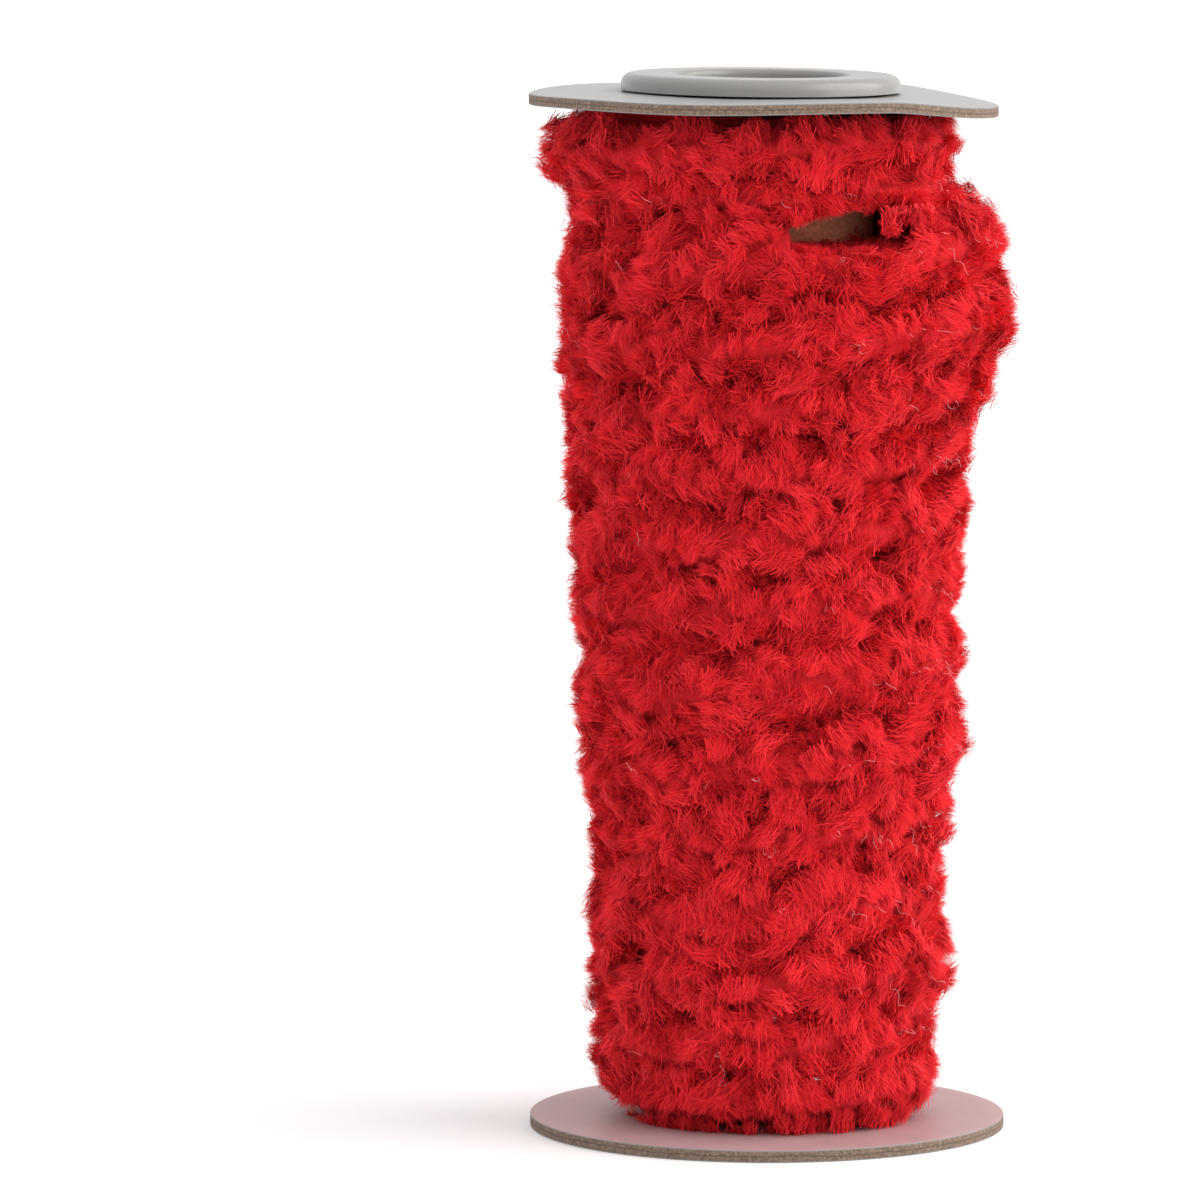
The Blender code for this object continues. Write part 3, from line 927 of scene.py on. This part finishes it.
def tuft_fibres(rng, tufts, settings):
    """Straight tapering fibres that fan out of each tuft: their corners and map."""
    shape = (tufts.size.size, settings.fibres)
    spot = rng.uniform(0.0, 2.0 * math.pi, shape)[..., None]
    far = np.sqrt(rng.uniform(0.0, 1.0, shape))[..., None]
    way, outward = tufts.way[:, None], tufts.outward[:, None]
    first = unit(np.cross(way, (0.13, 0.2, 1.0)))
    offset = far * (np.cos(spot) * first + np.sin(spot) * np.cross(way, first))
    size = tufts.size[:, None, None]
    fan = unit(way + TUFT_FAN * offset + rng.normal(0.0, FIBRE_UNEVEN, (*shape, 3)))
    loose = rng.uniform(0.4, 1.3, shape) * (rng.uniform(0.0, 1.0, shape) < LOOSE_SHARE)
    lift = (rng.normal(0.0, TIP_UNEVEN, shape) + loose)[..., None] * MM - TUFT_DOME * size * far**2
    tip = tufts.place[:, None] + size * offset + lift * way
    tip[..., 2] = np.clip(tip[..., 2], tufts.low[:, None], tufts.high[:, None])
    root = tip - fan * rng.uniform(FIBRE_SHORTEST, FIBRE_LONGEST, shape)[..., None]
    reach = np.hypot(root[..., 0], root[..., 1])
    root[..., :2] *= np.maximum(FIBRE_LEAST_REACH / reach, 1.0)[..., None]
    flat = unit(np.cross(fan, outward))
    spin = rng.normal(0.0, FIBRE_SPIN, shape)[..., None]
    flat = np.cos(spin) * flat + np.sin(spin) * np.cross(fan, flat)
    width = settings.fibre_width * rng.uniform(0.7, 1.25, shape)[..., None] / 2.0
    corners = np.stack([root - flat * width, root + flat * width, tip], axis=2)
    shade = tufts.shade[:, None] + rng.normal(0.0, 0.04, shape)
    shade = np.clip(shade[..., None] + (-0.003, 0.003, 0.0), 0.0, 1.0)
    spread = np.stack([shade, np.broadcast_to((0.0, 0.0, 1.0), shade.shape)], axis=-1)
    return between_boards(corners.reshape(-1, 3, 3)), spread.reshape(-1, 3, 2)


def square_to(points):
    """Two directions square to the way along each row of points."""
    ahead = unit(np.gradient(points, axis=1))
    around = unit(np.stack([-points[..., 1], points[..., 0], np.zeros(points.shape[:2])], axis=-1))
    first = unit(around - ahead * np.sum(around * ahead, axis=2, keepdims=True))
    return first, np.cross(ahead, first)


def between_boards(points):
    """Points that would pass into a board are laid against it."""
    limit = UPPER_TOP - UPPER_THICKNESS - PILE_UNDER_BOARD
    limit = limit + board_sag(points[..., 0] - UPPER_SHIFT, points[..., 1])
    points[..., 2] = np.clip(points[..., 2], LOWER_THICKNESS + PILE_OVER_BOARD, limit)
    return points


def joined_mesh(name, corners, faces, spread):
    """One mesh of many like shapes: corners and a map for each, and the faces of one."""
    count, per = corners.shape[:2]
    triangles = (np.arange(count)[:, None, None] * per + np.asarray(faces)[None]).reshape(-1, 3)
    mesh = bpy.data.meshes.new(name)
    mesh.vertices.add(count * per)
    mesh.vertices.foreach_set("co", corners.astype(np.float32).ravel())
    mesh.loops.add(triangles.size)
    mesh.loops.foreach_set("vertex_index", triangles.astype(np.int32).ravel())
    mesh.polygons.add(len(triangles))
    mesh.polygons.foreach_set("loop_start", np.arange(0, triangles.size, 3, dtype=np.int32))
    mesh.update(calc_edges=True)
    layer = mesh.uv_layers.new(name=PILE_MAP)
    spread = spread.reshape(-1, 2)[triangles.ravel()]
    layer.data.foreach_set("uv", spread.astype(np.float32).ravel())
    mesh.shade_smooth()
    return mesh


def strand_points(turn, twist, reach):
    """Points of one strand that twists round the wire's own middle line."""
    angle = turn * 2.0 * math.pi
    out = wire_reach(turn) + reach * np.cos(twist)
    height = np.minimum(turn_height(turn), TURNS[-1].wire * MM) + reach * np.sin(twist)
    return np.column_stack([out * np.sin(angle), -out * np.cos(angle), height])


def curve_mesh(name, lines, thickness):
    """A mesh of thin four-sided strands along rows of points, with closed ends."""
    curve = bpy.data.curves.new(name, "CURVE")
    curve.dimensions = "3D"
    curve.bevel_depth = thickness / 2.0
    curve.bevel_resolution = 0
    curve.use_fill_caps = True
    for line in lines:
        spline = curve.splines.new("POLY")
        spline.points.add(len(line) - 1)
        spline.points.foreach_set("co", np.column_stack([line, np.ones(len(line))]).ravel())
    holder = bpy.data.objects.new(name, curve)
    bpy.context.scene.collection.objects.link(holder)
    graph = bpy.context.evaluated_depsgraph_get()
    mesh = bpy.data.meshes.new_from_object(holder.evaluated_get(graph))
    bpy.data.objects.remove(holder)
    mesh.shade_smooth()
    return mesh


def length(name, description, default, least=0.0):
    """A setting in metres."""
    sizes = {"default": default, "min": least, "precision": 5, "unit": "LENGTH"}
    return FloatProperty(name=name, description=description, **sizes)


def colour(name, description, default):
    """A setting that is a colour."""
    return FloatVectorProperty(name=name, description=description, default=default, subtype="COLOR")


class SpoolSettings(bpy.types.PropertyGroup):
    """Sizes and colours of the boards, the core and the hub ring."""

    lower_radius: length("Lower board radius", "Radius of the card end below", LOWER_RADIUS)
    upper_radius: length("Upper board radius", "Radius of the card end at the top", UPPER_RADIUS)
    paper_colour: colour("Paper", "Coated paper on the upper board", (0.285, 0.28, 0.275))
    # The lower paper's pink is painted red light, thrown back from the pile onto the white card.
    lower_paper_painted_bounce_colour: colour("Lower paper", "Paper tinted by the pile over it", (0.43, 0.275, 0.28))
    pulp_colour: colour("Pulp", "Grey-brown pulp in the boards' edges", (0.21, 0.145, 0.105))
    # Kraft brown with painted red light from the pile in it.
    kraft_and_red_bounce_colour: colour("Kraft paper", "Paper of the core tube", (0.9, 0.36, 0.2))
    plastic_colour: colour("Plastic", "Plastic of the hub ring", (0.24, 0.229, 0.219))


class PileSettings(bpy.types.PropertyGroup):
    """How dense, fine and red the yarn pile is."""

    tuft_spacing: length("Tuft spacing", "How far neighbouring tufts stand apart", 1.6 * MM, 1.0 * MM)
    tuft_radius: length("Tuft radius", "How far the tips spread from a tuft's middle", 1.5 * MM)
    fibre_width: length("Fibre width", "Width of a fibre at its root", 0.2 * MM)
    # The roots' colour is darker than the tips' by painted shade deep in the pile.
    shaded_root_colour: colour("Roots", "The fibres near the wire", (0.72, 0.02, 0.028))
    tip_colour: colour("Tips", "The fibres' tips", (0.93, 0.029, 0.042))
    fibres: IntProperty(
        name="Fibres in a tuft",
        description="How many fibres each tuft has",
        default=78,
        min=1,
    )
    strays: IntProperty(
        name="Loose hairs",
        description="How many single hairs stand out of the pile",
        default=170,
        min=0,
    )


class StageSettings(bpy.types.PropertyGroup):
    """Camera, light and floor."""

    lens: FloatProperty(
        name="Lens",
        description="Focal length on a sensor 36 mm wide",
        default=275.1,
    )
    key: FloatProperty(
        name="Key light",
        description="Strength of the soft light from the right",
        default=3.3,
    )
    fill: FloatProperty(
        name="Fill light",
        description="Strength of the soft light from the front left",
        default=0.1,
    )
    sky: FloatProperty(
        name="Surroundings",
        description="Brightness of the white surroundings",
        default=1.03,
    )
    floor_radius: length("Floor radius", "Radius of the round floor", 6.0)


class YARNTRIM_OT_boards(bpy.types.Operator):
    """Makes the lower and the upper card end."""

    bl_idname = "yarn_trim.boards"
    bl_label = "Card ends"

    def execute(self, context):
        spool = context.scene.yarn_trim_spool
        edge = edge_finish(spool)
        lower_paper = paper_finish("lower_paper", spool.lower_paper_painted_bounce_colour, 0.45)
        upper_paper = paper_finish("upper_paper", spool.paper_colour, 0.3)
        board(
            "lower_board",
            spool.lower_radius,
            LOWER_THICKNESS,
            0.0,
            [lower_paper, edge],
            "lower_flange",
            move=(0.0, 0.0, LOWER_THICKNESS),
        )
        board(
            "upper_board",
            spool.upper_radius,
            UPPER_THICKNESS,
            BOARD_HOLE_RADIUS,
            [upper_paper, edge],
            "upper_flange",
            bend=board_sag,
            move=(UPPER_SHIFT, 0.0, UPPER_TOP),
        )
        return {"FINISHED"}


class YARNTRIM_OT_core(bpy.types.Operator):
    """Makes the kraft paper tube inside the winding."""

    bl_idname = "yarn_trim.core"
    bl_label = "Core tube"

    def execute(self, context):
        inner = CORE_RADIUS - CORE_WALL
        profile = [(CORE_RADIUS, CORE_HIGH.z), (CORE_RADIUS, CORE_LOW.z)]
        profile += [(inner, CORE_LOW.z), (inner, CORE_HIGH.z)]
        bm = spun(profile, CORE_STEPS)
        bmesh.ops.translate(bm, verts=bm.verts, vec=(CORE_SHIFT, 0.0, 0.0))
        finish = kraft_finish(context.scene.yarn_trim_spool)
        put_in_scene("core_paper", mesh_of("core_paper", bm), [finish], ["core_tube"])
        return {"FINISHED"}


class YARNTRIM_OT_hub(bpy.types.Operator):
    """Makes the glossy plastic ring on the upper card end."""

    bl_idname = "yarn_trim.hub"
    bl_label = "Hub ring"

    def execute(self, context):
        barrel = HUB_OPENING_RADIUS + HUB_BARREL_WALL
        outer = arc(HUB_RADIUS - HUB_OUTER_ROUND, HUB_HEIGHT - HUB_OUTER_ROUND, HUB_OUTER_ROUND, 90, 0, 10)
        middle = HUB_OPENING_RADIUS + HUB_INNER_ROUND
        inner = arc(middle, HUB_HEIGHT - HUB_INNER_ROUND, HUB_INNER_ROUND, 180, 90, 7)
        under = [(HUB_RADIUS, SEAT_GAP), (barrel, SEAT_GAP)]
        foot = [(barrel, -HUB_BARREL_LENGTH), (HUB_OPENING_RADIUS, -HUB_BARREL_LENGTH)]
        bm = spun(inner + outer + under + foot, HUB_STEPS)
        lean = Matrix.Rotation(HUB_LEAN, 4, "Y")
        place = Matrix.Translation((HUB_SHIFT, 0.0, UPPER_TOP)) @ lean
        bmesh.ops.transform(bm, matrix=place, verts=bm.verts)
        mesh = mesh_of("hub_plastic_ring", bm)
        finish = hub_finish(context.scene.yarn_trim_spool)
        put_in_scene("hub_plastic_ring", mesh, [finish], ["hub_ring"])
        return {"FINISHED"}


class YARNTRIM_OT_roots(bpy.types.Operator):
    """Makes the dense inner mass of the winding, under the pile's tips."""

    bl_idname = "yarn_trim.roots"
    bl_label = "Pile roots"

    def execute(self, context):
        whole = mesh_of("pile_roots", wrapped_body(), sharp=180.0)
        mesh = cut_by(whole, [bore_cutter(), gap_cutter()])
        mesh.name = "pile_roots"
        mesh.shade_smooth()
        finish = pile_body_finish(context.scene.yarn_trim_pile)
        put_in_scene("pile_roots", mesh, [finish], ["wound_trim"])
        return {"FINISHED"}


class YARNTRIM_OT_pile(bpy.types.Operator):
    """Makes the yarn pile, fibre by fibre, in a few joined pieces."""

    bl_idname = "yarn_trim.pile"
    bl_label = "Yarn pile"

    def execute(self, context):
        settings = context.scene.yarn_trim_pile
        rng = np.random.default_rng(PILE_SEED)
        tufts = all_tufts(rng, settings)
        finish = pile_finish(settings)
        for number in range(PILE_PIECES):
            start, end = (tufts.size.size * place // PILE_PIECES for place in (number, number + 1))
            some = Tufts(*(values[start:end] for values in tufts))
            corners, spread = tuft_fibres(rng, some, settings)
            name = f"pile_{number + 1}"
            put_in_scene(name, joined_mesh(name, corners, [(0, 1, 2)], spread), [finish])
        return {"FINISHED"}


class YARNTRIM_OT_wire(bpy.types.Operator):
    """Makes the twisted wire that holds the pile."""

    bl_idname = "yarn_trim.wire"
    bl_label = "Twisted wire"

    def execute(self, context):
        turn = np.linspace(FIRST_WIRE, LAST_WIRE, WIRE_POINTS)
        twist = (turn - turn[0]) * 2.0 * math.pi * WIRE_REACH / TWIST_PITCH * 2.0 * math.pi
        lines = [strand_points(turn, twist + phase, STRAND_REACH) for phase in (0.0, math.pi)]
        mesh = curve_mesh("trim_wire", lines, STRAND_WIDTH)
        put_in_scene("trim_wire", mesh, [wire_finish()])
        return {"FINISHED"}


class YARNTRIM_OT_strays(bpy.types.Operator):
    """Makes the single loose hairs round the pile."""

    bl_idname = "yarn_trim.strays"
    bl_label = "Loose hairs"

    def execute(self, context):
        count = context.scene.yarn_trim_pile.strays
        rng = np.random.default_rng(HAIR_SEED)
        right = rng.normal(HAIR_SIDE, HAIR_SPREAD, count)
        at_side = rng.uniform(0.0, 1.0, count) < HAIR_SIDE_SHARE
        angle = np.where(at_side, right, rng.uniform(-math.pi, math.pi, count))
        turn = rng.integers(0, 13, count) + angle / (2.0 * math.pi)
        share = np.linspace(0.0, 1.0, HAIR_POINTS)[None, :]
        start = winding_radius(turn + 0.5, angle, turn_height(turn + 0.5)) - HAIR_ROOT
        tall = rng.uniform(HAIR_SHORTEST, HAIR_LONGEST, count)
        reach = start[:, None] + tall[:, None] * share * rng.uniform(0.6, 1.0, count)[:, None]
        wave = rng.uniform(6.0, 15.0, (2, count))[..., None]
        phase = rng.uniform(0.0, 2.0 * math.pi, (2, count))[..., None]
        drift = rng.normal(0.0, HAIR_DRIFT, (2, count))[..., None]
        sway = drift * share + np.sin(wave * share + phase) * HAIR_CURL
        height = np.clip(turn_height(turn + 0.5)[:, None] + sway[0], HAIR_LOW, HAIR_HIGH)
        where = angle[:, None] + sway[1] / reach
        points = np.stack([reach * np.sin(where), -reach * np.cos(where), height], axis=-1)
        one, other = square_to(points)
        flat = unit(one + other) * HAIR_HALF_WIDTH
        pairs = np.stack([points - flat, points + flat], axis=2).reshape(count, -1, 3)
        steps = 2 * np.arange(share.size - 1)[:, None]
        faces = np.concatenate([steps + (0, 1, 3), steps + (0, 3, 2)])
        spread = np.zeros((count, pairs.shape[1], 2))
        mesh = joined_mesh("stray_hairs", pairs, faces, spread)
        put_in_scene("stray_hairs", mesh, [stray_finish()])
        return {"FINISHED"}


def sun(name, row, strength):
    """A soft directional light from a row's side and height."""
    data = bpy.data.lights.new(name, "SUN")
    data.energy = strength
    data.angle = math.radians(row.softness)
    data.color = row.colour
    light = bpy.data.objects.new(name, data)
    side, up = math.radians(row.side), math.radians(row.height)
    source = Vector((math.sin(side) * math.cos(up), -math.cos(side) * math.cos(up), math.sin(up)))
    light.rotation_euler = source.to_track_quat("Z", "Y").to_euler()
    light.location = source
    bpy.context.scene.collection.objects.link(light)


class YARNTRIM_OT_stage(bpy.types.Operator):
    """Sets the floor, the lights and the camera."""

    bl_idname = "yarn_trim.stage"
    bl_label = "Stage"

    def execute(self, context):
        scene = context.scene
        settings = scene.yarn_trim_stage
        bm = bmesh.new()
        bmesh.ops.create_circle(bm, cap_ends=True, segments=96, radius=settings.floor_radius)
        mesh = mesh_of("floor", bm)
        mesh.materials.append(floor_finish())
        floor = bpy.data.objects.new("floor", mesh)
        scene.collection.objects.link(floor)
        sun("key_light", KEY_LIGHT, settings.key)
        sun("fill_light", FILL_LIGHT, settings.fill)
        world = bpy.data.worlds.new("white_surroundings")
        world.use_nodes = True
        sky = world.node_tree.nodes["Background"]
        sky.inputs["Color"].default_value = (1.0, 1.0, 1.0, 1.0)
        sky.inputs["Strength"].default_value = settings.sky
        scene.world = world
        data = bpy.data.cameras.new("photo_camera")
        data.sensor_width = 36.0
        data.lens = settings.lens
        data.clip_start = 0.05
        data.clip_end = 30.0
        camera = bpy.data.objects.new("photo_camera", data)
        camera.location = CAMERA_PLACE
        camera.rotation_euler = (math.radians(90.0 - CAMERA_DOWN), 0.0, 0.0)
        scene.collection.objects.link(camera)
        scene.camera = camera
        scene.view_settings.view_transform = "Standard"
        return {"FINISHED"}


OPERATORS = (
    YARNTRIM_OT_stage,
    YARNTRIM_OT_boards,
    YARNTRIM_OT_core,
    YARNTRIM_OT_hub,
    YARNTRIM_OT_roots,
    YARNTRIM_OT_pile,
    YARNTRIM_OT_wire,
    YARNTRIM_OT_strays,
)


class YARNTRIM_PT_panel(bpy.types.Panel):
    """Lists the pieces of the spool."""

    bl_idname = "YARNTRIM_PT_panel"
    bl_label = "Yarn trim spool"
    bl_space_type = "VIEW_3D"
    bl_region_type = "UI"
    bl_category = "Yarn trim"

    def draw(self, context):
        for operator in OPERATORS:
            self.layout.operator(operator.bl_idname)


CLASSES = (SpoolSettings, PileSettings, StageSettings, *OPERATORS, YARNTRIM_PT_panel)


def register():
    for cls in CLASSES:
        bpy.utils.register_class(cls)
    bpy.types.Scene.yarn_trim_spool = PointerProperty(type=SpoolSettings)
    bpy.types.Scene.yarn_trim_pile = PointerProperty(type=PileSettings)
    bpy.types.Scene.yarn_trim_stage = PointerProperty(type=StageSettings)


def unregister():
    del bpy.types.Scene.yarn_trim_stage
    del bpy.types.Scene.yarn_trim_pile
    del bpy.types.Scene.yarn_trim_spool
    for cls in reversed(CLASSES):
        bpy.utils.unregister_class(cls)


def main():
    register()
    for operator in OPERATORS:
        group, action = operator.bl_idname.split(".")
        getattr(getattr(bpy.ops, group), action)()


if __name__ == "__main__":
    main()
